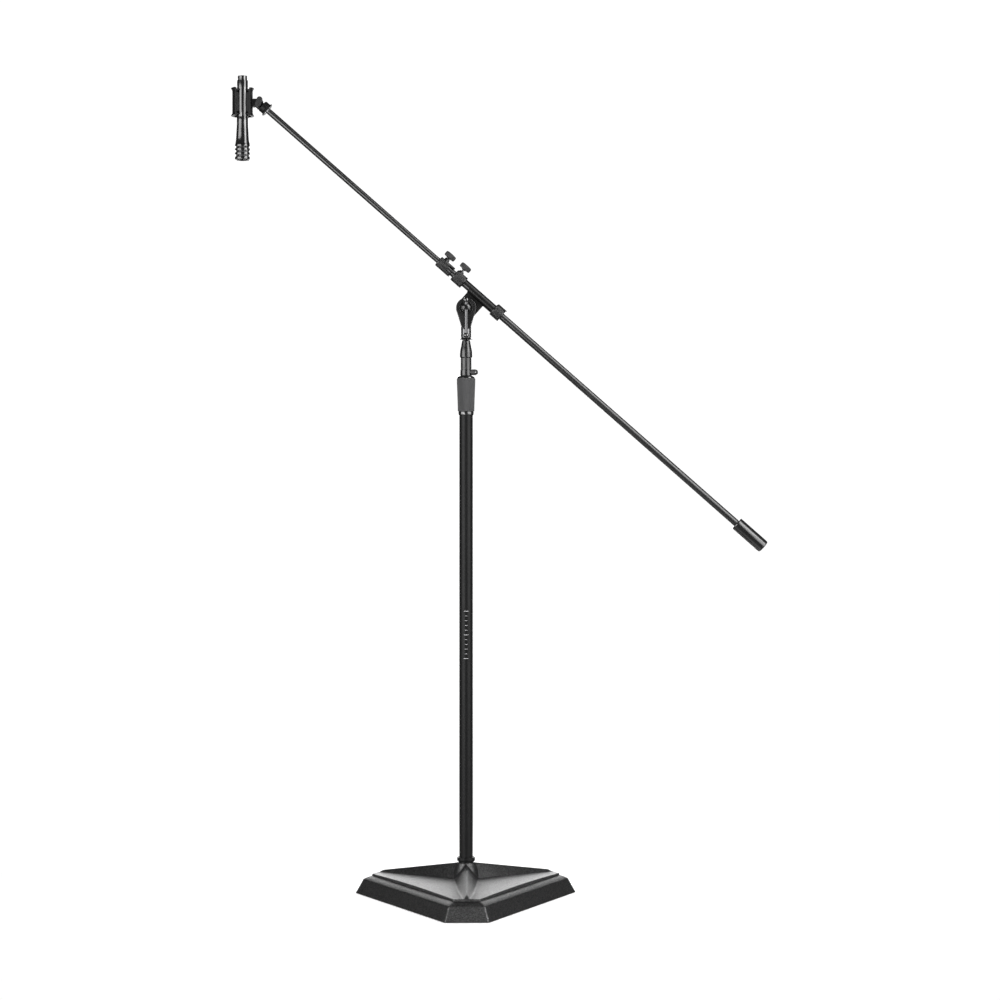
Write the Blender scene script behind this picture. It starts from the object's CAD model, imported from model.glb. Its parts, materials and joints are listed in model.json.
# Microphone stand: a three-cornered cast base, a telescopic pole along +Z and a pivoting boom.
# It stands on z = 0 with the pole on the Z axis and its front towards -Y. The boom rises to the
# left (-X), where a clip holds an upright microphone, and drops to the counterweight at the
# right. Lengths are in mm and angles in degrees, unless a comment says otherwise.
import bpy
import bmesh
import json
import math
from mathutils import Matrix, Vector


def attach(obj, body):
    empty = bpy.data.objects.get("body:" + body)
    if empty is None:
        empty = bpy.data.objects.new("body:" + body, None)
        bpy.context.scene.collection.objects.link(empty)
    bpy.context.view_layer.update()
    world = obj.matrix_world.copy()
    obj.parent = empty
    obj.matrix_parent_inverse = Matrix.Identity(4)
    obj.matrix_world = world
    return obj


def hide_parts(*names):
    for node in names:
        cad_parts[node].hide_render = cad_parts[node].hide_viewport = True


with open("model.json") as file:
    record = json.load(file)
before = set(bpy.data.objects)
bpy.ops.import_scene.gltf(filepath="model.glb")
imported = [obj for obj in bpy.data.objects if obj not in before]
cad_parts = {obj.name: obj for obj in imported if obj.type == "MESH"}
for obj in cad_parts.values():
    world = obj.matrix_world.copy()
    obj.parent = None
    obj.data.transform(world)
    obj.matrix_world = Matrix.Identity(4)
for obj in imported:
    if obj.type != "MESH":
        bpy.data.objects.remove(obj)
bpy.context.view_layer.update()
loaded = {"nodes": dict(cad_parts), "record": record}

NODES = loaded["nodes"]
SLOT_OF = {part["node"]: part["material_slot"] for part in loaded["record"]["subparts"]}
MM = 0.001
PI = math.pi
scene = bpy.context.scene

# ------------------------------------------------------------------ driving dimensions
PIVOT_Z = 1255.5                # boom pivot above the floor
BOOM_ANGLE = 41.3               # slope of the boom
BOOM_OFFSET = 36.6              # pivot to boom axis
LOCK_Z = 1119.2                 # lock screw above the floor
LOCK_SWING = 25.0               # lock screw, from +X round towards the front
HINGE_X = -613.9                # clip hinge along the boom
MIC_X, MIC_DROP = -472.4, -2.3  # microphone axis, and its shift in height
TBAR_Y = 25.0                   # T-bar in front of the pole axis
PIN_Z = 1219.5                  # yoke pin above the floor
FOOT_DIST = 205.0               # pole axis to a foot

BASE_BORE = 14.65               # parts round the lower tube
LOWER_TUBE_R, LOWER_TUBE_BORE = 14.35, 12.85
GUIDE_BORE = 11.7               # parts round the upper tube
UPPER_TUBE_R, UPPER_TUBE_BORE = 11.4, 9.9
HEAD_BORE = 7.95                # boom head round the outer boom tube
SLEEVE_BORE = 7.88              # parts fixed on the outer boom tube
OUTER_BOOM_R, OUTER_BOOM_BORE = 7.58, 6.55
INNER_BOOM_R, INNER_BOOM_BORE = 6.25, 5.25
TUBE_EDGE = 0.35                # chamfer at the ends of tubes
HEAD_SCREW_X, EXTENSION_SCREW_X = -57.6, -97.7     # knob screws along the boom
SCREW_HOLE_R = 2.8
LOCK_HOLE_R = 2.9
PIVOT_HOLE_R = 4.3


# ------------------------------------------------------------------ frames
def shift(x, y, z):
    return Matrix.Translation((x * MM, y * MM, z * MM))


def turn(radians, axis):
    return Matrix.Rotation(radians, 4, axis)


UP = Matrix.Identity(4)
UPRIGHT = turn(PI / 2, 'X')                      # outline's y up, thickness towards -Y
TILT = shift(0, 0, PIVOT_Z) @ turn(math.radians(BOOM_ANGLE), 'Y')
BOOM = TILT @ shift(0, 0, BOOM_OFFSET)           # +X runs down towards the counterweight
ALONG = BOOM @ turn(PI / 2, 'Y')                 # height = distance along the boom
BOOM_SIDE = BOOM @ UPRIGHT                       # outline's x runs along the boom
FACING = shift(0, 0, PIVOT_Z) @ UPRIGHT          # height = towards the front
PIN = shift(0, 0, PIN_Z) @ UPRIGHT
HINGE_POINT = BOOM @ Vector((HINGE_X * MM, 0, 0))
HINGE = Matrix.Translation(HINGE_POINT) @ UPRIGHT
MIC = shift(MIC_X, 0, MIC_DROP)
LOCK = shift(0, 0, LOCK_Z) @ turn(-math.radians(LOCK_SWING), 'Z') @ turn(PI / 2, 'Y')
BAR = shift(0, -TBAR_Y, PIVOT_Z)


# ------------------------------------------------------------------ materials
def grey(value):
    """Very slightly blue grey."""
    return (value, value, value * 1.02)


class NodeTree:
    """A new material and its nodes; methods return output sockets unless they say otherwise."""

    def __init__(self, name):
        self.material = bpy.data.materials.new(name)
        self.material.use_nodes = True
        self.node_tree = self.material.node_tree
        self.bsdf = self.node_tree.nodes["Principled BSDF"]
        self.coords = self.new("ShaderNodeTexCoord").outputs["Object"]

    def feed(self, socket, value):
        """Sets a socket to a number or tuple, or links it to an output."""
        if isinstance(value, (int, float)):
            socket.default_value = value
        elif isinstance(value, tuple):
            socket.default_value = (*value, 1) if socket.type == 'RGBA' else value
        else:
            self.node_tree.links.new(value, socket)

    def new(self, kind, inputs=None, **properties):
        """Makes a node and returns it; inputs are keyed by name or index."""
        node = self.node_tree.nodes.new(kind)
        for key, value in properties.items():
            setattr(node, key, value)
        for key, value in (inputs or {}).items():
            self.feed(node.inputs[key], value)
        return node

    def stretched(self, scale):
        mapping = self.new("ShaderNodeMapping", {"Scale": scale, "Vector": self.coords})
        return mapping.outputs["Vector"]

    def noise(self, scale, detail, rough, stretch=None, distortion=0.0):
        return self.new("ShaderNodeTexNoise", {
            "Vector": self.stretched(stretch) if stretch else self.coords,
            "Scale": scale, "Detail": detail, "Roughness": rough,
            "Distortion": distortion}).outputs["Fac"]

    def voronoi(self, scale, feature='F1'):
        """Returns the node, which has several useful outputs."""
        return self.new("ShaderNodeTexVoronoi", {"Scale": scale, "Vector": self.coords},
                        feature=feature)

    def remap(self, value, span, to=(0.0, 1.0)):
        """Maps the range span to the range to."""
        return self.new("ShaderNodeMapRange", {
            "From Min": span[0], "From Max": span[1], "To Min": to[0], "To Max": to[1],
            "Value": value}).outputs["Result"]

    def greys(self, value, stops):
        """Colour ramp of greys; stops are (position, grey level)."""
        node = self.new("ShaderNodeValToRGB", {"Fac": value})
        elements = node.color_ramp.elements
        elements.remove(elements[-1])
        elements[0].position = stops[0][0]
        elements[0].color = (*grey(stops[0][1]), 1)
        for position, level in stops[1:]:
            elements.new(position).color = (*grey(level), 1)
        return node.outputs["Color"]

    def math(self, operation, first, second):
        node = self.new("ShaderNodeMath", {0: first, 1: second}, operation=operation)
        return node.outputs[0]

    def weighted(self, *terms):
        """Sum of (socket, weight) terms."""
        total = None
        for socket, weight in terms:
            part = socket if weight == 1 else self.math('MULTIPLY', socket, weight)
            total = part if total is None else self.math('ADD', total, part)
        return total

    def bump(self, height, distance, strength):
        return self.new("ShaderNodeBump", {"Strength": strength, "Distance": distance,
                                           "Height": height}).outputs["Normal"]

    def edge_wear(self, radius, worn, plain):
        """1 on convex edges, 0 elsewhere, from how far a bevelled normal turns (cosines)."""
        bevel = self.new("ShaderNodeBevel", {"Radius": radius}, samples=4)
        geometry = self.new("ShaderNodeNewGeometry")
        dot = self.new("ShaderNodeVectorMath", {
            0: bevel.outputs["Normal"], 1: geometry.outputs["Normal"]}, operation='DOT_PRODUCT')
        return self.remap(dot.outputs["Value"], span=(plain, worn))

    def set(self, **values):
        """Feeds the Principled BSDF; underscores stand for spaces."""
        for name, value in values.items():
            self.feed(self.bsdf.inputs[name.replace("_", " ")], value)


def cast_coat(name):
    """Coated casting: coarse speckled grain, each grain with its own lightness and sheen."""
    tree = NodeTree(name)
    cells = tree.voronoi(scale=520.0)
    red, green = tree.new("ShaderNodeSeparateColor", {0: cells.outputs["Color"]}).outputs[:2]
    coarse = tree.noise(scale=300.0, detail=4.0, rough=0.7)
    grain = tree.noise(scale=1350.0, detail=3.0, rough=0.6)
    cloud = tree.noise(scale=9.0, detail=3.0, rough=0.5)
    contrast = 2.2              # makes bright flecks rarer
    fleck = tree.math('MULTIPLY', tree.math('POWER', red, contrast),
                      tree.remap(coarse, span=(0.30, 0.72), to=(0.25, 1.25)))
    edge = tree.new("ShaderNodeAttribute", attribute_name="edge", attribute_type='GEOMETRY')
    rubbed = tree.math('MULTIPLY', edge.outputs["Fac"],
                       tree.remap(coarse, span=(0.35, 0.60), to=(0.55, 1.0)))
    colour = tree.greys(tree.weighted((fleck, 0.46), (cloud, 0.16), (rubbed, 0.75)), stops=[
        (0.05, 0.003), (0.30, 0.006), (0.60, 0.015), (0.78, 0.05), (1.0, 0.26)])
    height = tree.weighted((coarse, 0.9), (grain, 0.4), (cells.outputs["Distance"], 0.5))
    tree.set(Base_Color=colour,
             Roughness=tree.remap(green, span=(0.0, 1.0), to=(0.38, 0.50)),
             Normal=tree.bump(height, distance=0.00045, strength=0.6),
             Specular_IOR_Level=tree.remap(red, span=(0.0, 1.0), to=(0.34, 0.76)))
    return tree.material


def powder(name, level, rough, grain, depth, spec):
    """Satin black powder coat: slight orange peel, faint handling marks."""
    tree = NodeTree(name)
    peel = tree.noise(scale=grain, detail=3.0, rough=0.55)
    broad = tree.noise(scale=70.0, detail=4.0, rough=0.6)
    scuff = tree.noise(scale=240.0, detail=8.0, rough=0.75, stretch=(1.0, 1.0, 0.18),
                       distortion=0.4)
    marks = tree.remap(scuff, span=(0.66, 0.80))
    colour = tree.greys(tree.weighted((broad, 0.6), (marks, 0.35)), stops=[
        (0.15, level * 0.8), (0.5, level), (0.95, level * 1.9)])
    sheen = tree.remap(broad, span=(0.3, 0.7), to=(rough - 0.05, rough + 0.05))
    tree.set(Base_Color=colour, Roughness=tree.weighted((sheen, 1), (marks, 0.12)),
             Normal=tree.bump(peel, distance=depth, strength=0.55), Specular_IOR_Level=spec)
    return tree.material


def plastic(name, level, rough=0.5, grain=2600.0, spec=0.5):
    """Moulded matte plastic: fine grain, slightly lighter on its edges."""
    tree = NodeTree(name)
    fine = tree.noise(scale=grain, detail=2.0, rough=0.5)
    cell = tree.voronoi(scale=grain * 0.8, feature='SMOOTH_F1').outputs["Distance"]
    broad = tree.noise(scale=55.0, detail=3.0, rough=0.5)
    wear = tree.edge_wear(radius=0.0007, worn=0.90, plain=0.995)
    colour = tree.greys(tree.weighted((broad, 0.5), (wear, 0.3)), stops=[
        (0.1, level * 0.85), (0.5, level), (1.0, level * 2.2)])
    tree.set(Base_Color=colour,
             Roughness=tree.remap(broad, span=(0.3, 0.7), to=(rough - 0.05, rough + 0.06)),
             Normal=tree.bump(tree.weighted((fine, 1), (cell, 0.6)), distance=0.00007,
                              strength=0.55),
             Specular_IOR_Level=spec)
    return tree.material


def rubber(name, level):
    """Dull rubber with a little dust on it."""
    tree = NodeTree(name)
    grain = tree.noise(scale=2100.0, detail=4.0, rough=0.6)
    dust = tree.noise(scale=130.0, detail=6.0, rough=0.7)
    tree.set(Base_Color=tree.greys(dust, stops=[
                 (0.3, level), (0.62, level * 1.3), (0.85, level * 2.6)]),
             Roughness=tree.remap(dust, span=(0.3, 0.7), to=(0.72, 0.88)),
             Normal=tree.bump(grain, distance=0.00009, strength=0.6),
             Specular_IOR_Level=0.3)
    return tree.material


def metal(name, level, rough, spread, stretch=(1.0, 1.0, 1.0), scratch=1.0, grain=900.0):
    """Bare or plated metal: turning marks along stretch, faint smudges."""
    tree = NodeTree(name)
    lines = tree.noise(scale=grain, detail=5.0, rough=0.7, stretch=stretch)
    smudge = tree.noise(scale=120.0, detail=4.0, rough=0.6)
    colour = tree.greys(smudge, stops=[
        (0.25, level * 0.90), (0.6, level), (0.9, min(1.0, level * 1.08))])
    sheen = tree.remap(smudge, span=(0.3, 0.75), to=(rough - spread, rough + spread))
    marks = tree.remap(lines, span=(0.4, 0.7))
    tree.set(Base_Color=colour, Metallic=1.0,
             Roughness=tree.weighted((sheen, 1), (marks, 0.05 * scratch)),
             Normal=tree.bump(lines, distance=0.000012 * scratch, strength=0.5))
    return tree.material


def gloss(name, level, rough, coat, peel, spec=0.6):
    """Gloss black lacquer with a faint orange peel and dust in it."""
    tree = NodeTree(name)
    ripple = tree.noise(scale=520.0, detail=2.0, rough=0.4)
    dust = tree.noise(scale=2600.0, detail=2.0, rough=0.5)
    smear = tree.noise(scale=60.0, detail=5.0, rough=0.65)
    tree.set(Base_Color=tree.greys(tree.remap(dust, span=(0.70, 0.86)), stops=[
                 (0.0, level), (1.0, level * 4.5)]),
             Roughness=tree.remap(smear, span=(0.3, 0.75), to=(rough - 0.02, rough + 0.04)),
             Normal=tree.bump(ripple, distance=peel, strength=0.5),
             Coat_Weight=coat, Coat_Roughness=0.06, Specular_IOR_Level=spec)
    return tree.material


# level is the grey level, depth and peel are bump heights in metres, grain is a noise scale
FINISHES = {
    "cast_base": (cast_coat, {}),
    "powder_coat": (powder, dict(level=0.010, rough=0.36, grain=1700.0, depth=2e-5, spec=0.5)),
    "satin_black": (powder, dict(level=0.009, rough=0.25, grain=2400.0, depth=1.2e-5, spec=0.5)),
    "matte_black": (plastic, dict(level=0.016)),
    "grip_black": (plastic, dict(level=0.044, rough=0.62, grain=2200.0, spec=0.25)),
    "knob_grey": (plastic, dict(level=0.026, rough=0.52, grain=2400.0, spec=0.3)),
    "clip_black": (plastic, dict(level=0.005, rough=0.46, spec=0.13)),
    "rubber": (rubber, dict(level=0.016)),
    "liner_black": (rubber, dict(level=0.0045)),
    "base_ring": (plastic, dict(level=0.005, rough=0.34, spec=0.14)),
    "pole_coat": (powder, dict(level=0.0055, rough=0.40, grain=1900.0, depth=2e-5, spec=0.11)),
    "boom_coat": (powder, dict(level=0.009, rough=0.30, grain=1900.0, depth=1.2e-5, spec=0.55)),
    "head_black": (powder, dict(level=0.003, rough=0.36, grain=1500.0, depth=2e-5, spec=0.22)),
    "satin_gloss": (gloss, dict(level=0.008, rough=0.20, coat=0.5, peel=3e-5)),
    "ring_black": (gloss, dict(level=0.006, rough=0.16, coat=0.6, peel=4e-6)),
    "collar_black": (plastic, dict(level=0.007, rough=0.34, spec=0.35)),
    "knob_dark": (plastic, dict(level=0.014, rough=0.52, grain=2400.0, spec=0.25)),
    "mesh_dark": (metal, dict(level=0.05, rough=0.45, spread=0.05, grain=1600.0)),
    "gold": (metal, dict(level=0.6, rough=0.25, spread=0.05)),
    "print_grey": (plastic, dict(level=0.34, grain=3000.0, spec=0.4)),
    "chrome": (metal, dict(level=0.085, rough=0.22, spread=0.04, stretch=(1, 1, 6), scratch=0.6)),
    "steel": (metal, dict(level=0.50, rough=0.30, spread=0.06, stretch=(1, 1, 9), scratch=1.2)),
    "dark_steel": (metal, dict(level=0.20, rough=0.33, spread=0.05, stretch=(1, 1, 5))),
    "gloss_black": (gloss, dict(level=0.006, rough=0.16, coat=0.5, peel=4e-6)),
    "gloss_plastic": (gloss, dict(level=0.006, rough=0.10, coat=0.8, peel=3e-6)),
    "mic_black": (gloss, dict(level=0.006, rough=0.16, coat=0.30, peel=3e-6, spec=0.62)),
    "weight_black": (gloss, dict(level=0.006, rough=0.24, coat=0.25, peel=4e-6, spec=0.5)),
}
MATERIALS = {name: build(name, **values) for name, (build, values) in FINISHES.items()}

for node, ob in NODES.items():
    ob.data.materials.clear()
    ob.data.materials.append(MATERIALS[SLOT_OF[node]])


# ------------------------------------------------------------------ pieces and tools
# A tool is an unfinished object, either cut and joined until it is a piece or used up on one.
def mesh_object(name, bm, frame=UP):
    bmesh.ops.recalc_face_normals(bm, faces=bm.faces)
    mesh = bpy.data.meshes.new(name)
    bm.to_mesh(mesh)
    bm.free()
    mesh.transform(frame)
    ob = bpy.data.objects.new(name, mesh)
    scene.collection.objects.link(ob)
    return ob


def dress(ob, material, body, node=None, sharp=35):
    mesh = ob.data
    mesh.materials.clear()
    mesh.materials.append(MATERIALS[material])
    mesh.shade_smooth()
    mesh.set_sharp_from_angle(angle=math.radians(sharp))
    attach(ob, body)
    if node:
        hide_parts(node)
    return ob


def make(name, bm, material, body, node=None, frame=UP, sharp=35):
    return dress(mesh_object(name, bm, frame), material, body, node, sharp)


def finish(ob, name, material, body, node=None, sharp=35):
    """Turns a worked tool into a named piece."""
    ob.name = name
    ob.data.name = name
    bm = bmesh.new()
    bm.from_mesh(ob.data)
    many_sided = [face for face in bm.faces if len(face.verts) > 4]
    bmesh.ops.triangulate(bm, faces=many_sided, ngon_method='EAR_CLIP')
    bm.to_mesh(ob.data)
    bm.free()
    return dress(ob, material, body, node, sharp)


# ------------------------------------------------------------------ turned shapes
# A profile is a list of (radius, height) or (radius, height, flute weight) points.
def soften(points, rounding, closed, steps=3):
    """Rounds the corners of a profile."""
    out = []
    last = len(points) - 1
    for i, point in enumerate(points):
        if not closed and i in (0, last):
            out.append(point)
            continue
        before, after = points[i - 1], points[(i + 1) % len(points)]
        back = Vector((before[0] - point[0], before[1] - point[1]))
        ahead = Vector((after[0] - point[0], after[1] - point[1]))
        if back.length < 1e-6 or ahead.length < 1e-6:
            out.append(point)
            continue
        angle = back.angle(ahead)
        if angle > math.radians(168) or point[0] < 1e-6:
            out.append(point)
            continue
        reach = min(rounding / math.tan(angle / 2), back.length * 0.48, ahead.length * 0.48)
        corner = Vector((point[0], point[1]))
        start = corner + back.normalized() * reach
        end = corner + ahead.normalized() * reach
        weight = point[2] if len(point) > 2 else 0.0
        for k in range(steps + 1):
            t = k / steps
            spot = start * (1 - t) ** 2 + corner * 2 * t * (1 - t) + end * t * t
            out.append((spot.x, spot.y, weight))
    return out


def revolved(profile, sides, closed, rounding, flute, frame=UP):
    """Turns a profile into a bmesh; flute(angle) is the change of radius at weight 1."""
    bm = bmesh.new()
    rows = []
    for radius, height, *rest in soften(profile, rounding, closed) if rounding else profile:
        weight = rest[0] if rest else 0.0
        if radius < 1e-6:
            rows.append([bm.verts.new(frame @ (Vector((0, 0, height)) * MM))])
            continue
        row = []
        for i in range(sides):
            t = 2 * PI * i / sides
            r = radius + (weight * flute(t) if flute and weight else 0.0)
            row.append(bm.verts.new(
                frame @ (Vector((r * math.cos(t), r * math.sin(t), height)) * MM)))
        rows.append(row)
    pairs = list(zip(rows, rows[1:])) + ([(rows[-1], rows[0])] if closed else [])
    for a, b in pairs:
        if len(a) == 1 and len(b) == 1:
            continue
        for i in range(sides):
            j = (i + 1) % sides
            if len(a) == 1:
                bm.faces.new((a[0], b[j], b[i]))
            elif len(b) == 1:
                bm.faces.new((a[i], a[j], b[0]))
            else:
                bm.faces.new((a[i], a[j], b[j], b[i]))
    return bm


def flutes(count, depth, power=1.0):
    """Grooves for revolved()."""
    return lambda t: -depth * ((0.5 - 0.5 * math.cos(count * t)) ** power)


def lathe(name, material, body, node=None, *, profile, frame=UP, sides=96, closed=False,
          flute=None, rounding=0, sharp=35):
    """Turned piece; a closed profile makes a ring."""
    bm = revolved(profile, sides, closed, rounding, flute)
    return make(name, bm, material, body, node, frame, sharp)


def solid(profile, sides=96, closed=False, frame=UP, rounding=0, flute=None):
    """Turned tool."""
    return mesh_object("solid", revolved(profile, sides, closed, rounding, flute, frame))


def rod(radius, low, high, sides=96, frame=UP, rounding=0):
    """Plain cylinder tool."""
    profile = [(0, high), (radius, high), (radius, low), (0, low)]
    return solid(profile, sides, frame=frame, rounding=rounding)


def tube(name, radius, bore, low, high, material, body, node, frame=UP):
    lathe(name, material, body, node, frame=frame, closed=True, profile=[
        (bore, high), (radius - TUBE_EDGE, high), (radius, high - TUBE_EDGE),
        (radius, low + TUBE_EDGE), (radius - TUBE_EDGE, low), (bore, low)])


def drilled_tube(name, radius, bore, low, high, band, hole_r, drill, material, body, node,
                 frame=UP):
    """Tube with a screw hole on one side; loops at the band's ends confine the cut to it."""
    ob = solid([(bore, high), (radius - TUBE_EDGE, high), (radius, high - TUBE_EDGE),
                (radius, band[1]), (radius, band[0]), (radius, low + TUBE_EDGE),
                (radius - TUBE_EDGE, low), (bore, low), (bore, band[0]), (bore, band[1])],
               closed=True, frame=frame)
    cut(ob, rod(hole_r, 4.5, 18.0, 32, drill))
    finish(ob, name, material, body, node)


# ------------------------------------------------------------------ flat shapes
# An outline is a list of (x, y) points.
def arc(cx, cy, radius, start, end, steps):
    out = []
    for i in range(steps + 1):
        t = math.radians(start + (end - start) * i / steps)
        out.append((cx + radius * math.cos(t), cy + radius * math.sin(t)))
    return out


def circle(cx, cy, radius, sides):
    return arc(cx, cy, radius, 0, 360 * (sides - 1) / sides, sides - 1)


def mirrored(half):
    """Continues the left half of an outline with its mirror image."""
    return half + [(-x, y) for x, y in reversed(half)]


def extruded(outlines, low, high, bevel):
    """Bmesh of flat outlines with rounded rims; the outlines are the finished size."""
    curve = bpy.data.curves.new("outline", 'CURVE')
    curve.dimensions = '2D'
    curve.fill_mode = 'BOTH'
    curve.extrude = ((high - low) / 2 - bevel) * MM
    curve.bevel_depth = bevel * MM
    curve.bevel_resolution = 2
    curve.offset = -bevel * MM
    for outline in outlines:
        spline = curve.splines.new('POLY')
        spline.points.add(len(outline) - 1)
        for point, (x, y) in zip(spline.points, outline):
            point.co = (x * MM, y * MM, 0, 1)
        spline.use_cyclic_u = True
    ob = bpy.data.objects.new("outline", curve)
    scene.collection.objects.link(ob)
    bpy.context.view_layer.update()
    depsgraph = bpy.context.evaluated_depsgraph_get()
    mesh = bpy.data.meshes.new_from_object(ob.evaluated_get(depsgraph))
    bpy.data.objects.remove(ob, do_unlink=True)
    bpy.data.curves.remove(curve)
    mesh.transform(Matrix.Translation((0, 0, (low + high) / 2 * MM)))
    bm = bmesh.new()
    bm.from_mesh(mesh)
    bpy.data.meshes.remove(mesh)
    bmesh.ops.remove_doubles(bm, verts=bm.verts, dist=1e-6)
    return bm


def slab(outline, low, high, frame=UP, bevel=0.0):
    """Flat tool."""
    bm = extruded([outline], low, high, bevel)
    bm.transform(frame)
    return mesh_object("slab", bm)


def box(size, centre, frame):
    """Box tool."""
    bm = bmesh.new()
    bmesh.ops.create_cube(bm, size=1.0)
    bmesh.ops.scale(bm, vec=Vector(size) * MM, verts=bm.verts)
    bmesh.ops.translate(bm, vec=Vector(centre) * MM, verts=bm.verts)
    bm.transform(frame)
    return mesh_object("box", bm)


# ------------------------------------------------------------------ working on tools
def bake_modifiers(ob):
    bpy.context.view_layer.update()
    depsgraph = bpy.context.evaluated_depsgraph_get()
    mesh = bpy.data.meshes.new_from_object(ob.evaluated_get(depsgraph))
    ob.modifiers.clear()
    old = ob.data
    ob.data = mesh
    bpy.data.meshes.remove(old)


def boolean(ob, tool, operation):
    """Applies a Boolean at once and removes the tool."""
    modifier = ob.modifiers.new("boolean", 'BOOLEAN')
    modifier.operation = operation
    modifier.object = tool
    modifier.solver = 'MANIFOLD'
    bake_modifiers(ob)
    mesh = tool.data
    bpy.data.objects.remove(tool, do_unlink=True)
    bpy.data.meshes.remove(mesh)


def cut(ob, *tools):
    for tool in tools:
        boolean(ob, tool, 'DIFFERENCE')


def join(ob, tool):
    boolean(ob, tool, 'UNION')


def break_edges(ob, width, angle, segments):
    """Rounds the edges that turn by more than angle."""
    modifier = ob.modifiers.new("bevel", 'BEVEL')
    modifier.width = width * MM
    modifier.segments = segments
    modifier.limit_method = 'ANGLE'
    modifier.angle_limit = math.radians(angle)
    bake_modifiers(ob)


# ------------------------------------------------------------------ base
CORNERS = {"front": -90, "right": 30, "left": 150}     # directions of the three corners
CORNER_DIST, CORNER_WIDTH = 249.3, 89.7     # centre to a cut-off corner, and its width
# centre to a long side
SIDE_DIST = CORNER_DIST * 0.5 + CORNER_WIDTH * 0.5 / math.tan(math.radians(30)) * 0.5
SECTOR_STEPS = 118          # directions in each half of a sector
DECK_STEPS = 74             # rings from the boss to the riser
WALL_FOOT_Z = 1.5
WALL_BATTER = 0.48          # how far the wall leans in, per mm of height
RISER_IN, RISER_TOP = 31.3, 43.1            # riser's distance from the outline, its top
CROWN = 6.5                 # rise of the deck towards the centre
BOSS_TOP, BOSS_R = 82.0, 18.0
DECK_START_R = 16.4
RIDGE_START, RIDGE_END, RIDGE_RUN = 10.0, 215.0, 194.5
CREST_ROUND = 1.1

# (radius, height): bore and top rim of the boss, from inside
BOSS_RINGS = [(5.5, 60.5), (BASE_BORE, 60.5), (BASE_BORE, 81.2), (14.95, 81.8), (15.6, BOSS_TOP)]
# (distance inside the outline, height): deck lip, riser, cove, top of the wall, wall, foot
EDGE_RINGS = [
    (31.45, 42.75), (31.2, 42.2), (31.15, 41.0), (30.9, 39.6), (30.2, 38.75), (29.0, 38.3),
    (26.6, 37.6), (23.8, 36.6), (21.0, 35.3), (18.8, 34.1), (17.2, 33.1), (16.0, 32.4),
    (15.0, 31.6), (14.2, 30.5), (13.4, 28.8), (12.2, 26.2), (9.4, 20.4), (6.0, 13.3),
    (2.6, 6.4), (1.0, 3.3), (0.35, 2.1), (0.9, 1.6), (2.0, WALL_FOOT_Z)]
# (corner distance, distance inside the long sides, height): hollow underside
HOLLOW_RINGS = [(175.6, 13.6, WALL_FOOT_Z), (175.0, 14.6, 2.1), (168.0, 25.0, 28.0),
                (164.5, 28.5, 32.2), (150.0, 42.0, 32.6)]
# (radius, height): round middle of the underside, inwards
MIDDLE_RINGS = [(30.0, 32.8), (26.6, 31.0), (26.0, 28.0), (26.0, 12.8), (25.2, 12.0),
                (6.2, 12.0), (5.5, 12.7)]


def outline_radius(phi, corner, side, power):
    """Radius in direction phi of a triangle with cut-off corners, rounded by power."""
    values = []
    for degrees in CORNERS.values():
        values.append(math.cos(phi - math.radians(degrees)) / corner)
        values.append(math.cos(phi - math.radians(degrees + 180)) / side)
    most = max(values)
    return 1.0 / (most * sum((v / most) ** power for v in values if v > 0) ** (1.0 / power))


def smooth_max(a, b, blend):
    h = max(0.0, min(1.0, 0.5 + 0.5 * (a - b) / blend))
    return b * (1 - h) + a * h + blend * h * (1 - h)


def smooth_min(a, b, blend):
    return -smooth_max(-a, -b, blend)


def deck_height(radius):
    return RISER_TOP + CROWN * (1 - radius / (CORNER_DIST - RISER_IN))


def ridge_height(along, across):
    """Height of a ridge: its flanks get lower and flatter outwards, its end slopes down."""
    t = (along - RIDGE_START) / RIDGE_RUN
    apex = (deck_height(RIDGE_START) + 33.0) * (1 - t) + (deck_height(RIDGE_END) + 6.2) * t
    slope = max(0.6, 1.375 * (1 - t) + 0.73 * t)
    flank = apex - slope * (math.sqrt(across * across + CREST_ROUND * CREST_ROUND) - 0.5)
    end = deck_height(RIDGE_END) + 6.8 * (RIDGE_END - along) / 10.5
    return smooth_min(flank, end, 1.3)


def top_height(radius, phi):
    """Upper side inside the riser: crowned deck, three ridges and conical boss, blended."""
    if radius <= BOSS_R:
        return BOSS_TOP
    x, y = radius * math.cos(phi), radius * math.sin(phi)
    z = deck_height(radius)
    for degrees in CORNERS.values():
        c, s = math.cos(math.radians(degrees)), math.sin(math.radians(degrees))
        along, across = x * c + y * s, abs(-x * s + y * c)
        if along >= 0:
            z = smooth_max(z, ridge_height(along, across), 1.5)
    cone = BOSS_TOP - (radius - 19.0) * 3.6
    return min(BOSS_TOP, smooth_max(z, smooth_min(cone, BOSS_TOP, 1.4), 3.0))


def sector_angles():
    """Directions round the base, closest together at the corners."""
    out = []
    for degrees in CORNERS.values():
        for i in range(-SECTOR_STEPS, SECTOR_STEPS):
            u = (i + 0.5) / SECTOR_STEPS
            out.append(math.radians(degrees)
                       + math.copysign(abs(u) ** 1.8, u) * math.radians(60))
    return out


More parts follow.
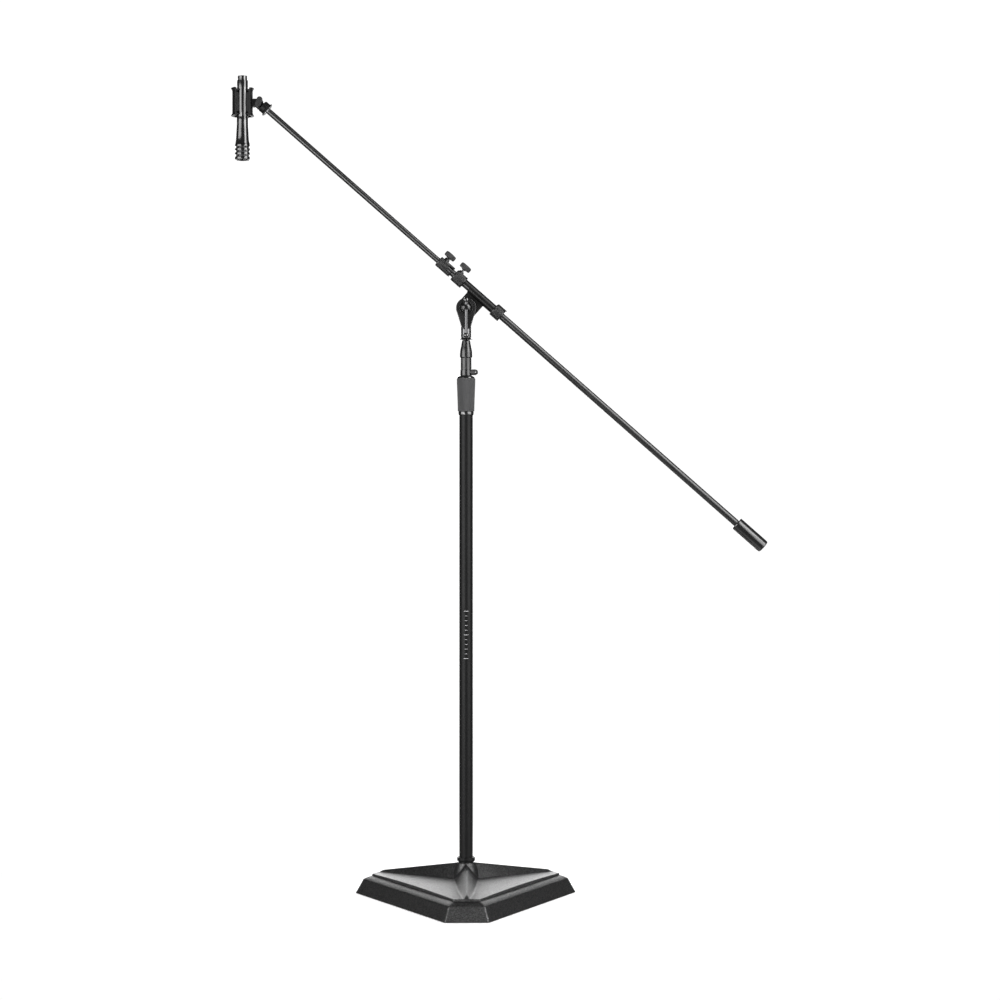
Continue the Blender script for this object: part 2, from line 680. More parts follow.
def casting_rings(phis):
    """Rings of (radius, height) from the bore over the top and back along the underside."""
    def outline(corner, side, power):
        return [outline_radius(phi, corner, side, power) for phi in phis]

    def inset(distance):
        return outline(CORNER_DIST - distance, SIDE_DIST - distance, 260.0)

    rings = [[ring] * len(phis) for ring in BOSS_RINGS]
    rim = inset(RISER_IN + 0.6)
    for i in range(DECK_STEPS + 1):
        s = i / DECK_STEPS
        share = s * (0.35 + 0.65 * s)           # denser near the boss
        row = []
        for phi, rim_radius in zip(phis, rim):
            radius = DECK_START_R + (rim_radius - DECK_START_R) * share
            row.append((radius, top_height(radius, phi)))
        rings.append(row)
    for distance, z in EDGE_RINGS:
        rings.append([(radius, z) for radius in inset(distance)])
    for corner, side_in, z in HOLLOW_RINGS:
        rings.append([(radius, z) for radius in outline(corner, SIDE_DIST - side_in, 120.0)])
    return rings + [[ring] * len(phis) for ring in MIDDLE_RINGS]


def foot_frame(degrees):
    c, s = math.cos(math.radians(degrees)), math.sin(math.radians(degrees))
    return shift(FOOT_DIST * c, FOOT_DIST * s, 0)


def mark_edges(ob):
    """Point attribute for the material: how rubbed the wall's corners and deck lip are."""
    layer = ob.data.attributes.new("edge", 'FLOAT', 'POINT')
    for vertex, item in zip(ob.data.vertices, layer.data):
        x, y, z = vertex.co.x / MM, vertex.co.y / MM, vertex.co.z / MM
        radius, phi = math.hypot(x, y), math.atan2(y, x)
        if radius < 100.0:
            continue
        item.value = 0.0
        if 3.0 < z < 31.0:
            lean = (z - WALL_FOOT_Z) * WALL_BATTER
            half = math.atan2(CORNER_WIDTH * 0.5 - 0.577 * lean, CORNER_DIST - lean)
            distance = 1e9
            for degrees in CORNERS.values():
                away = abs((phi - math.radians(degrees) + PI) % (2 * PI) - PI)
                distance = min(distance, abs(away - half) * radius)
            item.value = max(0.0, 1.0 - distance / 2.2) * 0.9
        elif 42.1 < z < 43.0:
            item.value = 0.42


def base_casting():
    phis = sector_angles()
    rings = casting_rings(phis)
    points = []
    for ring in rings:
        for (radius, z), phi in zip(ring, phis):
            points.append((radius * math.cos(phi) * MM, radius * math.sin(phi) * MM, z * MM))
    count = len(phis)
    faces = []
    for i in range(len(rings)):
        a, b = i * count, ((i + 1) % len(rings)) * count
        for j in range(count):
            k = (j + 1) % count
            faces.append((a + j, b + j, b + k, a + k))
    mesh = bpy.data.meshes.new("casting")
    mesh.from_pydata(points, [], faces)
    bm = bmesh.new()
    bm.from_mesh(mesh)
    bpy.data.meshes.remove(mesh)
    ob = mesh_object("casting", bm)
    for degrees in CORNERS.values():
        cut(ob, rod(13.4, -5.0, 5.9, 48, foot_frame(degrees)))
    mark_edges(finish(ob, "base_casting_look", "cast_base", "base", "base_casting", sharp=50))


base_casting()
for corner, degrees in CORNERS.items():
    lathe("foot_pad_" + corner, "rubber", "base", "base_foot_" + corner,
          frame=foot_frame(degrees), sides=64, rounding=0.4, profile=[
              (0, 5.5), (13.0, 5.5), (13.0, 0.9), (12.4, 0.0), (9.5, 0.0), (9.2, 0.5), (0, 0.5)])
lathe("base_collar_look", "base_ring", "base", "base_collar", closed=True, rounding=0.4, profile=[
    (BASE_BORE, 92.5), (15.6, 92.5), (16.1, 91.9), (17.0, 91.9), (17.5, 92.7), (18.5, 92.7),
    (19.1, 92.0), (19.1, 86.0), (18.4, 85.1), (16.3, 84.6), (15.7, 83.8), (15.9, 82.35),
    (BASE_BORE, 82.35)])

# ------------------------------------------------------------------ pole and twist grip
tube("lower_tube_look", LOWER_TUBE_R, LOWER_TUBE_BORE, 60.8, 1080.0, "pole_coat", "base",
     "lower_tube")
lathe("clutch_rim", "satin_gloss", "base", "clutch_body", closed=True, rounding=0.3, profile=[
    (BASE_BORE, 1074.0), (15.9, 1074.0), (15.9, 1036.3), (16.55, 1035.4), (16.75, 1033.8),
    (16.6, 1031.8), (16.15, 1029.4), (15.6, 1028.2), (BASE_BORE, 1028.0)])
GRIP_RIBS = 92
lathe("clutch_grip_ribs", "grip_black", "grip", "clutch_grip", sides=GRIP_RIBS * 8, closed=True,
      flute=flutes(GRIP_RIBS, depth=0.42, power=0.8), sharp=60, profile=[
          (16.2, 1036.6), (16.9, 1036.6), (17.35, 1037.3, 0.3), (17.55, 1038.6, 1),
          (17.75, 1046.0, 1), (18.0, 1056.0, 1), (18.35, 1066.0, 1), (18.8, 1078.0, 1),
          (19.2, 1089.0, 1), (19.5, 1098.0, 1), (19.55, 1103.5, 1), (19.45, 1105.6, 0.7),
          (19.1, 1106.6), (17.4, 1106.8), (16.2, 1104.5)])
lathe("clutch_grip_shoulder", "gloss_plastic", "grip", closed=True, rounding=0.3,
      profile=[
          (GUIDE_BORE, 1111.6), (13.0, 1112.0), (14.6, 1111.95), (16.4, 1111.3),
          (17.9, 1110.2), (18.9, 1108.8), (19.35, 1107.3), (19.2, 1106.9), (17.0, 1106.85),
          (16.2, 1104.6), (GUIDE_BORE, 1104.6)])
drilled_tube("upper_tube_look", UPPER_TUBE_R, UPPER_TUBE_BORE, 330.0, 1149.7, (1113.4, 1124.0),
             LOCK_HOLE_R, LOCK, "powder_coat", "mast", "upper_tube")


def lock_ring():
    """Ring round the upper tube with a round boss for the lock screw."""
    ob = solid([(GUIDE_BORE, 1124.7), (12.0, 1124.7), (12.35, 1124.3), (12.35, 1112.9),
                (12.0, 1112.5), (GUIDE_BORE, 1112.5)], closed=True, rounding=0.15)
    join(ob, solid([(0, 13.0), (5.7, 13.0), (6.0, 12.6), (6.0, 11.85), (0, 11.85)], 64,
                   frame=LOCK))
    cut(ob, rod(GUIDE_BORE, 1100, 1140), rod(LOCK_HOLE_R, 5, 20, 32, LOCK))
    # not every CAD frame has a node for the ring
    finish(ob, "lock_ring_look", "satin_black", "mast",
           "lock_ring" if "lock_ring" in NODES else None)


lock_ring()
lathe("lock_screw_look", "knob_grey", "lock_screw", "lock_screw", frame=LOCK, rounding=0.3,
      profile=[
          (0, 22.2), (5.7, 22.2), (6.15, 21.8), (6.15, 14.2), (5.6, 13.5), (4.2, 13.4),
          (2.5, 13.3), (2.5, 4.2), (0, 4.2)])
lathe("lock_screw_cap_look", "gloss_plastic", "lock_screw", "lock_screw_cap", frame=LOCK,
      sides=64, rounding=0.4, profile=[
          (0, 25.2), (3.0, 25.4), (4.6, 25.5), (5.4, 24.9), (5.6, 23.2), (5.4, 22.6), (0, 22.5)])

# ------------------------------------------------------------------ boom mount
lathe("swivel_hub_look", "satin_black", "mount", "swivel_hub", rounding=0.5, profile=[
    (0, 1187.0), (8.3, 1187.0), (8.75, 1186.0), (9.8, 1180.0), (10.6, 1175.6), (11.5, 1171.3),
    (12.4, 1167.0), (12.95, 1163.0), (13.2, 1159.5), (13.3, 1154.0), (13.15, 1151.2),
    (12.7, 1150.2), (11.6, 1150.0), (8.2, 1150.0), (8.2, 1178.5), (0, 1178.5)])
lathe("hub_flange_look", "chrome", "mount", "hub_flange", rounding=0.25, profile=[
    (0, 1192.3), (10.6, 1192.3), (11.4, 1191.4), (12.6, 1190.2), (14.4, 1189.3),
    (14.9, 1188.8), (14.2, 1188.2), (12.4, 1187.7), (10.2, 1187.4), (0, 1187.4)])

# outlines seen from the front, (x, height above the pivot)
YOKE_POCKET = mirrored([(-16.0, 20.0), (-16.0, -33.0), (-10.7, -40.3), (-3.6, -45.8),
                        (-1.6, -46.6)])
CHEEK = arc(0, 0, 21.3, -26, 206, 64) + mirrored([
    (-12.0, -33.4), (-10.3, -39.6), (-9.9, -40.6), (-9.4, -41.2), (-3.6, -45.4), (-1.6, -46.2)])
CHEEK_HOLES = [circle(0, 0, PIVOT_HOLE_R, 32), circle(0, PIN_Z - PIVOT_Z, SCREW_HOLE_R, 24)]


def yoke():
    """Post with a flat tongue left between two pockets."""
    ob = solid([(0, 1229.3), (10.1, 1229.3), (10.9, 1228.5), (10.9, 1193.2), (10.3, 1192.6),
                (0, 1192.6)], rounding=0.3)
    cut(ob, slab(YOKE_POCKET, 4.3, 20.0, FACING), slab(YOKE_POCKET, -20.0, -4.3, FACING),
        rod(2.7, -20, 20, 32, PIN))
    finish(ob, "yoke_look", "chrome", "mount", "yoke")


yoke()
for side, low, high in (("front", 4.6, 9.1), ("rear", -9.1, -4.6)):
    make("cheek_%s_look" % side, extruded([CHEEK] + CHEEK_HOLES, low, high, bevel=0.9),
         "satin_black", "mount", "cheek_" + side, FACING, sharp=40)
lathe("yoke_pin_look", "steel", "mount", "yoke_pin", frame=PIN, sides=32, rounding=0.1, profile=[
    (0, 9.1), (2.1, 9.1), (2.5, 8.7), (2.5, -8.7), (2.1, -9.1), (0, -9.1)])
lathe("pivot_washer_look", "ring_black", "mount", "pivot_washer", frame=FACING, sides=128,
      closed=True, rounding=0.2, profile=[
          (PIVOT_HOLE_R, 10.6), (7.9, 10.6), (8.0, 11.3), (8.5, 11.9), (9.0, 11.9),
          (9.4, 11.3), (9.6, 10.1), (12.3, 10.0), (12.6, 10.9), (13.1, 11.6), (13.7, 11.6),
          (14.2, 10.9), (14.3, 9.4), (PIVOT_HOLE_R, 9.4)])
lathe("pivot_bolt_look", "dark_steel", "mount", "pivot_bolt", frame=FACING, sides=64,
      rounding=0.3, profile=[
          (0, 17.5), (3.6, 17.5), (4.0, 17.1), (4.0, -9.4), (8.6, -9.4), (9.0, -9.8),
          (8.9, -11.6), (7.6, -13.6), (4.6, -15.1), (2.2, -15.5), (2.0, -14.0), (0, -14.0)])

# ------------------------------------------------------------------ T-bar
BAR_TOP, BAR_BOTTOM = 12.3, -56.3       # ends of the rod above the pivot
BALL_R, BALL_DEPTH = 6.3, 3.0           # ball radius, ball centre beyond the rod's end


def tbar_hub():
    ob = solid([(0, 31.4), (4.2, 31.4), (5.2, 30.9), (5.7, 29.9), (5.9, 26.0), (5.9, 20.2),
                (6.4, 19.6), (7.4, 19.2), (7.8, 18.7), (7.8, 12.4), (7.4, 11.6), (4.3, 11.4),
                (4.3, 18.4), (0, 18.4)], 72, rounding=0.3, frame=FACING)
    cut(ob, rod(3.85, -20, 20, 48, BAR))
    finish(ob, "tbar_hub_look", "gloss_black", "tbar_hub", "tbar_hub")


def tbar_ball(end, z, outward):
    """Ball with a socket for the rod; outward is 1 above the rod and -1 below it."""
    profile = [(0, BALL_R)]
    for degrees in range(6, 140, 6):
        t = math.radians(degrees)
        profile.append((BALL_R * math.sin(t), BALL_R * math.cos(t)))
    profile += [(4.35, -4.7), (3.8, -4.7), (3.8, 3.4), (0, 3.4)]
    profile = [(radius, outward * height) for radius, height in profile][::outward]
    lathe("tbar_ball_%s_look" % end, "gloss_plastic", "tbar", "tbar_ball_" + end,
          profile=profile, frame=BAR @ shift(0, 0, z), sides=64, sharp=40)


tbar_hub()
lathe("tbar_rod_look", "chrome", "tbar", "tbar_rod", frame=BAR, sides=64, rounding=0.1, profile=[
    (0, BAR_TOP), (3.2, BAR_TOP), (3.5, 11.9), (3.5, -55.9), (3.2, BAR_BOTTOM), (0, BAR_BOTTOM)])
tbar_ball("upper", BAR_TOP + BALL_DEPTH, 1)
tbar_ball("lower", BAR_BOTTOM - BALL_DEPTH, -1)

# ------------------------------------------------------------------ boom head
# outlines in the boom's slope, (along the boom, height above the pivot)
HEAD_WEB = [(-20.3, 36.0)] + arc(0, 0, 20.3, 180, 296, 48) + [
    (15.0, -16.5), (18.4, -12.6), (21.6, -8.9), (23.2, -6.6), (23.8, -4.0), (23.8, 36.0)]
HEAD_NOTCH = [(-37.9, 37.0), (-24.6, 37.0), (-22.6, 34.0), (-21.3, 30.0), (-21.3, 20.0),
              (-37.9, 20.0)]


def boom_head():
    """Sleeve on the boom with a web down to the pivot."""
    ob = solid([(0, 60.0), (9.1, 60.0), (9.3, 59.8), (9.3, 44.4), (10.0, 44.4), (10.0, -37.5),
                (9.3, -37.5), (9.3, -59.8), (9.1, -60.0), (0, -60.0)], frame=ALONG)
    join(ob, slab(HEAD_WEB, -3.4, 3.4, TILT @ UPRIGHT, bevel=0.8))
    cut(ob, slab(HEAD_NOTCH, -15.0, 15.0, TILT @ UPRIGHT),
        rod(HEAD_BORE, -70, 70, frame=ALONG),
        rod(PIVOT_HOLE_R, -10, 10, 48, FACING),
        rod(SCREW_HOLE_R, 6, 12, 32, BOOM @ shift(HEAD_SCREW_X, 0, 0)))
    finish(ob, "boom_head_look", "head_black", "head", "boom_head", sharp=40)


# (distance inside the radius, distance from the end, flute weight), from the end inwards
COLLAR_END = [(1.3, 0, 0), (0.5, 0.35, 0), (0, 1.2, 0), (0, 3.2, 0), (0.35, 3.5, 0), (0.1, 4.0, 1)]
COLLAR_BOSS_TOP = 16.4
COLLAR_SEAT = 9.65              # bore over the boom head's ends


def ribbed_collar(name, low, high, radius, ribs, body, node, bore, narrow, step_x,
                  screw_x=None, key=False, window=None):
    """Ribbed ring on the boom with plain end bands.

    Beyond step_x, towards the nearer end, the bore is narrow. screw_x places a screw boss, key
    adds a bar on top and window gives the ends of an opening in the front.
    """
    profile = [(0, high)] + [(radius - a, high - b, weight) for a, b, weight in COLLAR_END]
    profile += [(radius - a, low + b, weight) for a, b, weight in reversed(COLLAR_END)]
    ob = solid(profile + [(0, low)], ribs * 8, frame=ALONG,
               flute=flutes(ribs, depth=0.55, power=1.6))
    at_screw = BOOM @ shift(screw_x or 0, 0, 0)
    if screw_x is not None:
        top, root = COLLAR_BOSS_TOP, radius - 3.5
        join(ob, solid([(0, top), (4.6, top), (5.3, top - 0.5), (5.6, top - 1.4),
                        (6.2, radius - 1.5), (6.6, root), (0, root)],
                       48, frame=at_screw, rounding=0.3))
    if key:
        bar = [(low + 1.4, 9.0), (low + 1.4, 14.6), (low + 2.6, 15.6), (high + 1.4, 15.6),
               (high + 1.8, 15.1), (high + 0.6, 13.6), (high - 2.0, 11.6), (high - 2.0, 9.0)]
        join(ob, slab(bar, -3.6, 3.6, BOOM_SIDE, bevel=0.5))
    upper, lower = (narrow, bore) if step_x > (low + high) / 2 else (bore, narrow)
    cut(ob, solid([(0, high + 5), (upper, high + 5), (upper, step_x), (lower, step_x),
                   (lower, low - 5), (0, low - 5)], frame=ALONG))
    if window:
        a, b = window
        cut(ob, slab([(a, -5.4), (a, 7.6), (b, 7.6), (b, -5.4)], 3.0, 20.0, BOOM_SIDE))
    if screw_x is not None:
        cut(ob, rod(SCREW_HOLE_R, 4, 24, 32, at_screw))
    finish(ob, name, "collar_black", body, node, sharp=42)


boom_head()
ribbed_collar("front_collar_look", -65.4, -37.9, 13.5, 30, "head", "front_collar",
              bore=COLLAR_SEAT, narrow=HEAD_BORE, step_x=-60.3, screw_x=HEAD_SCREW_X)
ribbed_collar("rear_collar_look", 44.8, 68.1, 13.8, 30, "head", "rear_collar",
              bore=COLLAR_SEAT, narrow=HEAD_BORE, step_x=60.3, key=True)
ribbed_collar("extension_collar_look", -109.9, -71.8, 11.8, 26, "boom_outer",
              "extension_collar", bore=SLEEVE_BORE, narrow=OUTER_BOOM_BORE, step_x=-106.3,
              screw_x=EXTENSION_SCREW_X, window=(-84.6, -73.4))

# name, place along the boom, underside of the drum and tip of the screw above the boom's axis
KNOBS = [("boom_knob", HEAD_SCREW_X, 21.8, 7.93), ("extension_knob", EXTENSION_SCREW_X, 18.6, 6.6)]
KNOB_HEIGHT = 10.6
KNOB_FLUTES = 24

for knob, x, low, tip in KNOBS:         # drums with rounded rims on a short neck
    high = low + KNOB_HEIGHT
    lathe(knob + "_look", "knob_grey", knob, knob, frame=BOOM @ shift(x, 0, 0),
          sides=KNOB_FLUTES * 12, closed=True, sharp=50,
          flute=flutes(KNOB_FLUTES, depth=0.75, power=1.5), profile=[
              (2.8, high - 1.2), (8.0, high - 1.2), (8.8, high - 0.3), (10.2, high),
              (11.6, high - 0.35, 0.35), (12.4, high - 1.3, 0.8), (12.7, high - 2.6, 1),
              (12.75, (low + high) / 2, 1), (12.7, low + 2.6, 1), (12.4, low + 1.3, 0.8),
              (11.6, low + 0.35, 0.35), (10.2, low), (6.0, low), (5.4, low - 0.5),
              (4.4, low - 1.4), (2.8, low - 1.4)])
for knob, x, low, tip in KNOBS:
    top = low + KNOB_HEIGHT - 1.0
    lathe(knob + "_screw_look", "dark_steel", knob, knob + "_screw",
          frame=BOOM @ shift(x, 0, 0), sides=32, rounding=0.1, profile=[
              (0, top), (1.9, top), (2.5, top - 0.5), (2.5, tip + 0.5), (2.0, tip), (0, tip)])

# ------------------------------------------------------------------ boom
drilled_tube("boom_outer_look", OUTER_BOOM_R, OUTER_BOOM_BORE, -106.0, 752.0,
             (EXTENSION_SCREW_X - 5.3, EXTENSION_SCREW_X + 5.3), SCREW_HOLE_R,
             BOOM @ shift(EXTENSION_SCREW_X, 0, 0), "boom_coat", "boom_outer",
             "boom_outer_tube", ALONG)
tube("boom_inner_look", INNER_BOOM_R, INNER_BOOM_BORE, -588.0, 220.0, "boom_coat", "boom_inner",
     "boom_inner_tube", ALONG)
lathe("counterweight_look", "weight_black", "counterweight", "counterweight", frame=ALONG,
      rounding=0.6, profile=[
          (0, 808.4), (9.0, 808.6), (12.2, 809.0), (13.4, 808.2), (14.05, 806.4),
          (14.25, 804.2), (14.25, 736.4), (14.05, 734.2), (13.2, 732.5), (12.0, 732.0),
          (SLEEVE_BORE, 732.0), (SLEEVE_BORE, 753.0), (0, 753.0)])
THREAD = [(7.55 if i % 2 else 6.95, -590.3 - 0.45 * i) for i in range(25)]
lathe("tip_stud_look", "steel", "boom_inner", "tip_stud", frame=ALONG, sides=64, profile=[
    (0, -566.0), (5.0, -566.0), (5.0, -588.3), (INNER_BOOM_R, -588.3), (INNER_BOOM_R, -589.6),
    (6.6, -590.0)] + THREAD + [(6.5, -601.4), (0, -601.4)])
DISC_FLUTES = 60
lathe("lock_disc_look", "clip_black", "lock_disc", "lock_disc", frame=ALONG,
      sides=DISC_FLUTES * 6, closed=True, flute=flutes(DISC_FLUTES, depth=0.35),
      profile=[
          (7.9, -590.3), (13.6, -590.3), (14.6, -590.8, 0.6), (15.0, -591.5, 1),
          (15.0, -592.3, 1), (14.6, -593.0, 0.6), (13.6, -593.4), (7.9, -593.4)])

# ------------------------------------------------------------------ clip
HINGE_WORLD_X = HINGE_POINT.x / MM
MOUTH = MIC @ turn(math.radians(7.0), 'Z')      # the opening faces the front, swung 7 degrees
# seen from above, (x, y)
MOUTH_OPENING = mirrored([(-7.9, 0), (-7.9, -9.0), (-16.2, -14.4), (-16.2, -40.0)])
# seen from the front, (x, height)
DIAMOND = [(-15.0, 0.2), (-6.0, 3.9), (6.0, 3.9), (13.0, 0.2), (13.0, -0.2), (6.0, -3.9),
           (-6.0, -3.9), (-15.0, -0.2)]
DIAMOND_HEIGHTS = (1713.6, 1669.6)
# (along the boom, across it)
TONGUE = ([(-602.8, -5.0), (-602.8, 5.0), (HINGE_X + 7.5, 5.0)]
          + arc(HINGE_X, 0, 9.0, 34, 165, 32) + arc(HINGE_X, 0, 12.4, 186, 270, 24)
          + [(-605.6, -12.4), (-605.6, -5.0)])
# (x, height above the hinge): prong from the shell to the hinge
PRONG_START = MIC_X + 18.6
PRONG = ([(PRONG_START, -8.0), (PRONG_START, 8.0), (HINGE_WORLD_X, 8.0)]
         + arc(HINGE_WORLD_X, 0, 8.0, 84, -84, 28) + [(HINGE_WORLD_X, -8.0)])


def clip_base():
    """Round foot on the stud, slotted for the tongue."""
    ob = solid([(0, -602.0), (7.9, -602.0), (7.9, -593.8), (11.3, -593.8), (12.1, -594.3),
                (12.4, -595.2), (12.4, -603.6), (12.0, -604.6), (11.0, -605.2), (0, -605.2)],
               frame=ALONG, rounding=0.2)
    cut(ob, box((8.0, 8.6, 10.6), (-606.4, 0, 0), BOOM))
    finish(ob, "clip_base_look", "clip_black", "clip_base", "clip_base")


def cut_mouth(ob, depth):
    """Cuts the opening; used with cut_diamonds on shell and liner."""
    cut(ob, slab(MOUTH_OPENING, 1650.0, depth, MOUTH))


def cut_diamonds(ob, start):
    """Cuts diamond notches into both ends of the mouth, from start forwards."""
    for z in DIAMOND_HEIGHTS:
        cut(ob, slab(DIAMOND, start, 30.0, MOUTH @ shift(0, 0, z) @ UPRIGHT))


def clip_shell():
    """Flared shell round the microphone with a fork at the hinge."""
    ob = solid([(18.2, 1721.4), (23.6, 1721.4), (24.3, 1721.0), (24.3, 1720.4), (22.9, 1718.6),
                (21.9, 1716.6), (21.6, 1714.6), (21.6, 1669.4), (21.9, 1667.4), (22.9, 1665.4),
                (24.3, 1663.5), (24.3, 1662.9), (23.6, 1662.5), (18.2, 1662.5)],
               144, closed=True, frame=MIC)
    fork = Matrix.Translation((0, 0, HINGE_POINT.z)) @ UPRIGHT
    for low, high in ((4.4, 8.6), (-8.6, -4.4)):
        join(ob, slab(PRONG, low, high, fork, bevel=0.5))
    cut_mouth(ob, 1735.0)
    cut(ob, rod(SCREW_HOLE_R, -20, 20, 32, HINGE))
    cut_diamonds(ob, 9.0)
    finish(ob, "clip_shell_look", "clip_black", "clip", "clip_shell", sharp=32)


def clip_liner():
    ob = solid([(12.0, 1718.9), (17.9, 1718.9), (17.9, 1665.0), (12.0, 1665.0)],
               closed=True, frame=MIC, rounding=0.5)
    cut_mouth(ob, 1735.0)
    cut_diamonds(ob, 6.0)
    finish(ob, "clip_liner_look", "liner_black", "clip", "clip_liner")


def wing_knob():
    """Hinge knob with two lobes."""
    ob = solid([(0, 20.0), (3.4, 20.0), (4.4, 19.2), (4.8, 17.0), (5.8, 9.6), (5.5, 9.0),
                (2.8, 9.0), (2.8, 18.3), (0, 18.3)], 64, frame=HINGE, rounding=0.4)
    c, s = math.cos(math.radians(70)), math.sin(math.radians(70))
    lobes = arc(5.2, 0, 6.2, -80, 80, 24) + arc(-5.2, 0, 6.2, 100, 260, 24)
    lobes = [(x * c - y * s, x * s + y * c) for x, y in lobes]
    join(ob, slab(lobes, 13.0, 19.2, HINGE, bevel=1.4))
    cut(ob, rod(SCREW_HOLE_R, 5, 18.3, 32, HINGE))
    finish(ob, "clip_wing_look", "knob_dark", "wing_knob", "clip_wing_knob", sharp=45)


clip_base()
make("clip_tongue_look",
     extruded([TONGUE, circle(HINGE_X, 0, SCREW_HOLE_R, 24)], -4.0, 4.0, bevel=0.6),
     "chrome", "clip_base", "clip_tongue", BOOM_SIDE)
clip_shell()
clip_liner()
wing_knob()

# ------------------------------------------------------------------ microphone, head down
lathe("mic_body_look", "mic_black", "microphone", "mic_body", frame=MIC, sides=128, profile=[
    (0, 1606.0), (10.2, 1614.0), (10.2, 1738.0), (10.9, 1738.0), (11.5, 1737.6),
    (11.65, 1736.8), (11.65, 1661.3), (11.45, 1661.0), (11.45, 1660.4), (12.0, 1660.1),
    (12.15, 1659.6), (12.15, 1652.0), (12.3, 1644.0), (12.7, 1636.0), (13.1, 1629.0),
    (13.5, 1621.5), (13.9, 1614.5), (14.5, 1608.6), (15.3, 1605.0), (15.85, 1603.6),
    (15.95, 1602.9), (15.6, 1602.6), (0, 1602.6)])
lathe("mic_collar_look", "mic_black", "microphone", "mic_collar", frame=MIC, closed=True,
      profile=[
          (8.4, 1747.2), (8.9, 1747.4), (9.7, 1747.4), (10.05, 1747.0), (10.05, 1740.4),
          (9.8, 1740.1), (9.8, 1739.5), (10.05, 1739.2), (10.05, 1738.3), (9.8, 1738.1),
          (9.8, 1716.0), (8.4, 1716.0)])
SLOT_ROWS = (1598.2, 1589.4, 1580.6)
SLOT_HALF_ANGLE = 37
PIN_CIRCLE_R = 4.2


def mic_head():
    """Thin-walled head with three rows of four arc slots, its slot edges broken."""
    ob = solid([(0, 1602.2), (15.5, 1602.2), (15.95, 1602.0), (16.1, 1601.5), (16.1, 1571.2),
                (15.8, 1570.4), (15.2, 1570.0), (14.1, 1570.0), (13.8, 1570.3), (13.8, 1599.0),
                (0, 1599.0)], 128, frame=MIC)
    slots = []
    for middle in (-90, 0, 90, 180):
        start, end = middle - SLOT_HALF_ANGLE, middle + SLOT_HALF_ANGLE
        slots.append(arc(0, 0, 19.0, start, end, 24) + arc(0, 0, 11.0, end, start, 24))
    for z in SLOT_ROWS:
        bm = extruded(slots, z - 4.4, z - 0.4, bevel=0.0)
        bm.transform(MIC)
        cut(ob, mesh_object("slots", bm))
    break_edges(ob, width=0.3, angle=40, segments=2)
    finish(ob, "mic_head_look", "mic_black", "microphone", "mic_head", sharp=40)


mic_head()
lathe("mic_capsule_look", "mesh_dark", "microphone", "mic_capsule", frame=MIC, rounding=0.2,
      profile=[
          (0, 1598.6), (12.6, 1598.6), (13.2, 1598.0), (13.2, 1576.6), (12.4, 1575.6),
          (10.6, 1575.6), (10.2, 1576.4), (0, 1576.4)])
finish(rod(8.1, 1712.0, 1728.0, 64, MIC, rounding=0.3), "mic_insert_look", "gloss_plastic",
       "microphone", "mic_insert")
for i in range(3):
    t = math.radians(90 + 120 * i)
    lathe("mic_pin_%d" % i, "gold", "microphone", sides=24,
          frame=MIC @ shift(PIN_CIRCLE_R * math.cos(t), PIN_CIRCLE_R * math.sin(t), 0),
          profile=[(0, 1742.0), (0.6, 1741.8), (1.1, 1741.0), (1.1, 1728.05), (0, 1728.05)])

# ------------------------------------------------------------------ height scale
SCALE_START, SCALE_PITCH, SCALE_COUNT = 514.0, 10.0, 11
TICK_STEPS = 8
TICK_FOOT_R, TICK_FACE_R = 14.36, 14.42
TICK_BACK_R = TICK_FOOT_R * 0.9955              # inside the tube's wall


def height_scale():
    """Thin raised strips on the front of the lower tube, every fifth one longer."""
    bm = bmesh.new()
    for i in range(SCALE_COUNT):
        middle = SCALE_START + i * SCALE_PITCH
        spread, half = (40.0, 0.55) if i % 5 == 0 else (22.0, 0.4)
        rows = []
        for radius, rise in ((TICK_FOOT_R, half), (TICK_FACE_R, half * 0.8),
                             (TICK_FACE_R, -half * 0.8), (TICK_FOOT_R, -half),
                             (TICK_BACK_R, -half), (TICK_BACK_R, half)):
            row = []
            for k in range(TICK_STEPS + 1):
                t = math.radians(-90 - spread / 2 + spread * k / TICK_STEPS)
                row.append(bm.verts.new((radius * math.cos(t) * MM, radius * math.sin(t) * MM,
                                         (middle + rise) * MM)))
            rows.append(row)
        for a, b in zip(rows, rows[1:] + rows[:1]):
            for k in range(TICK_STEPS):
                bm.faces.new((a[k], a[k + 1], b[k + 1], b[k]))
        for k in (0, TICK_STEPS):
            bm.faces.new([row[k] for row in rows])
    make("height_scale", bm, "print_grey", "base")


height_scale()


# ------------------------------------------------------------------ studio, in metres
def floor_material():
    """Near the stand it takes light and shadow; further out it fades into the backdrop."""
    tree = NodeTree("floor_white")
    tree.set(Base_Color=(0.80, 0.80, 0.80), Roughness=0.9, Specular_IOR_Level=0.0)
    distance = tree.new("ShaderNodeVectorMath", {0: tree.coords}, operation='LENGTH')
    far = tree.remap(distance.outputs["Value"], span=(0.35, 1.1))
    camera_ray = tree.new("ShaderNodeLightPath").outputs["Is Camera Ray"]

    def emission(unseen, seen):
        """Emission with one strength for the camera and another for all other rays."""
        strength = tree.remap(camera_ray, span=(0.0, 1.0), to=(unseen, seen))
        return tree.new("ShaderNodeEmission", {"Strength": strength}).outputs[0]

    far_glow = emission(unseen=0.12, seen=1.02)
    near_glow = emission(unseen=0.0, seen=0.45)
    near = tree.new("ShaderNodeAddShader", {0: tree.bsdf.outputs[0], 1: near_glow})
    mix = tree.new("ShaderNodeMixShader", {0: far, 1: near.outputs[0], 2: far_glow})
    tree.feed(tree.node_tree.nodes["Material Output"].inputs["Surface"], mix.outputs[0])
    return tree.material


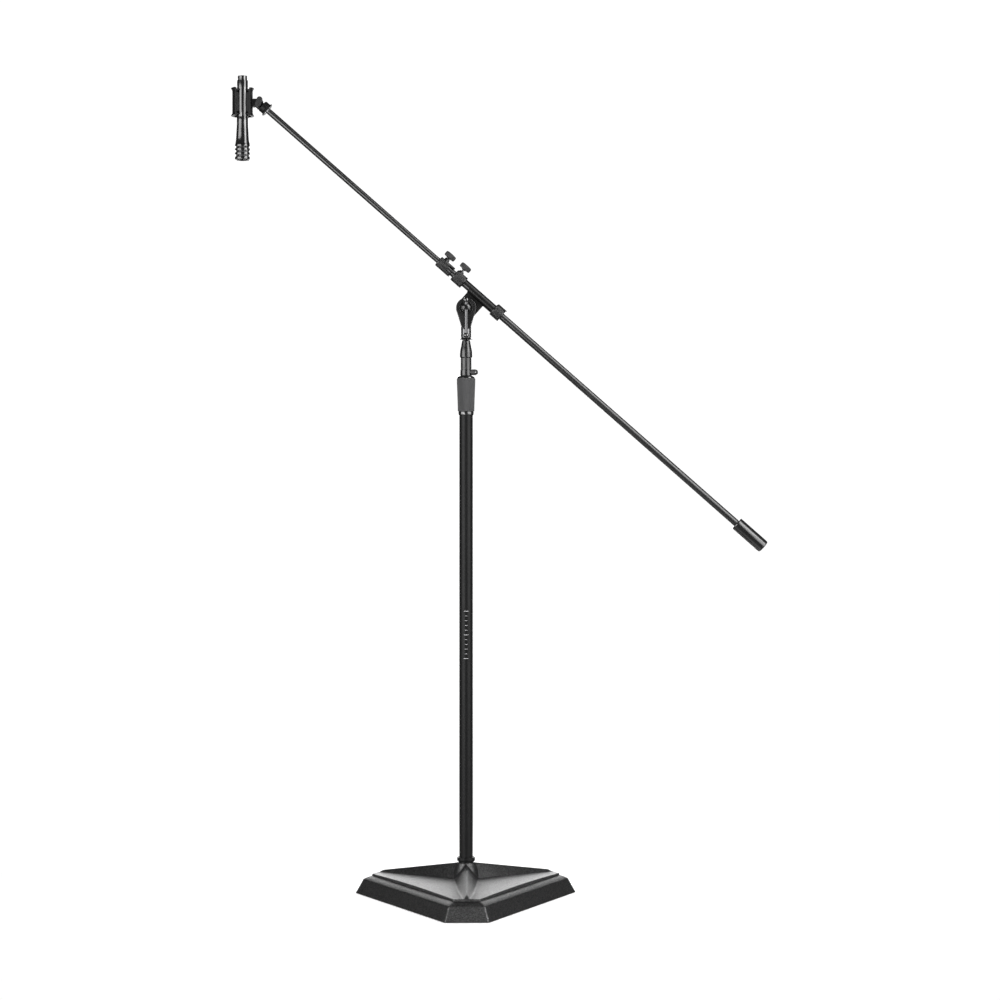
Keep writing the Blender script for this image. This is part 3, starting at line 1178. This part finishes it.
def floor():
    bm = bmesh.new()
    bmesh.ops.create_grid(bm, x_segments=2, y_segments=2, size=30.0)
    mesh = bpy.data.meshes.new("floor")
    bm.to_mesh(mesh)
    bm.free()
    ob = bpy.data.objects.new("floor", mesh)
    scene.collection.objects.link(ob)
    mesh.materials.append(floor_material())


def area(name, location, target, size, power):
    """Rectangular light aimed at target and hidden from the camera."""
    light = bpy.data.lights.new(name, 'AREA')
    light.shape = 'RECTANGLE'
    light.size, light.size_y = size
    light.energy = power
    ob = bpy.data.objects.new(name, light)
    ob.location = location
    direction = Vector(target) - Vector(location)
    ob.rotation_euler = direction.to_track_quat('-Z', 'Y').to_euler()
    ob.visible_camera = False
    scene.collection.objects.link(ob)


def studio_world():
    """White for the camera, dim for all other rays."""
    world = bpy.data.worlds.new("studio")
    scene.world = world
    world.use_nodes = True
    nodes, links = world.node_tree.nodes, world.node_tree.links
    background = nodes["Background"]
    background.inputs["Color"].default_value = (1, 1, 1, 1)
    path = nodes.new("ShaderNodeLightPath")
    strength = nodes.new("ShaderNodeMapRange")
    strength.inputs["To Min"].default_value = 0.055
    strength.inputs["To Max"].default_value = 1.05
    links.new(path.outputs["Is Camera Ray"], strength.inputs["Value"])
    links.new(strength.outputs["Result"], background.inputs["Strength"])


def camera():
    data = bpy.data.cameras.new("camera")
    data.lens = 77.4
    data.sensor_width = 36.0
    ob = bpy.data.objects.new("camera", data)
    ob.location = (-0.0315, -4.5565, 0.849)
    ob.rotation_euler = (math.radians(90), 0, math.radians(-1.3))
    scene.collection.objects.link(ob)
    scene.camera = ob


floor()
# two wide front panels give round black parts a pair of bands with a dark middle
area("panel_left", location=(-2.75, -2.25, 1.15), target=(0, 0, 1.15), size=(3.3, 3.0), power=210)
area("panel_right", location=(2.75, -2.25, 1.15), target=(0, 0, 1.15), size=(3.3, 3.0), power=190)
# the boom's upper side, its underside, and the backdrop the deck mirrors
area("upper_right", location=(2.0, -1.5, 2.9), target=(0.35, 0, 1.0), size=(1.5, 1.9), power=80)
area("low_left", location=(-1.25, -2.1, 0.4), target=(-0.25, 0, 1.4), size=(0.55, 1.0), power=16)
area("backdrop", location=(0.0, 2.6, 1.05), target=(0, 0, 0.6), size=(2.3, 2.6), power=72)
studio_world()
scene.view_settings.view_transform = 'Standard'
scene.view_settings.look = 'None'
camera()
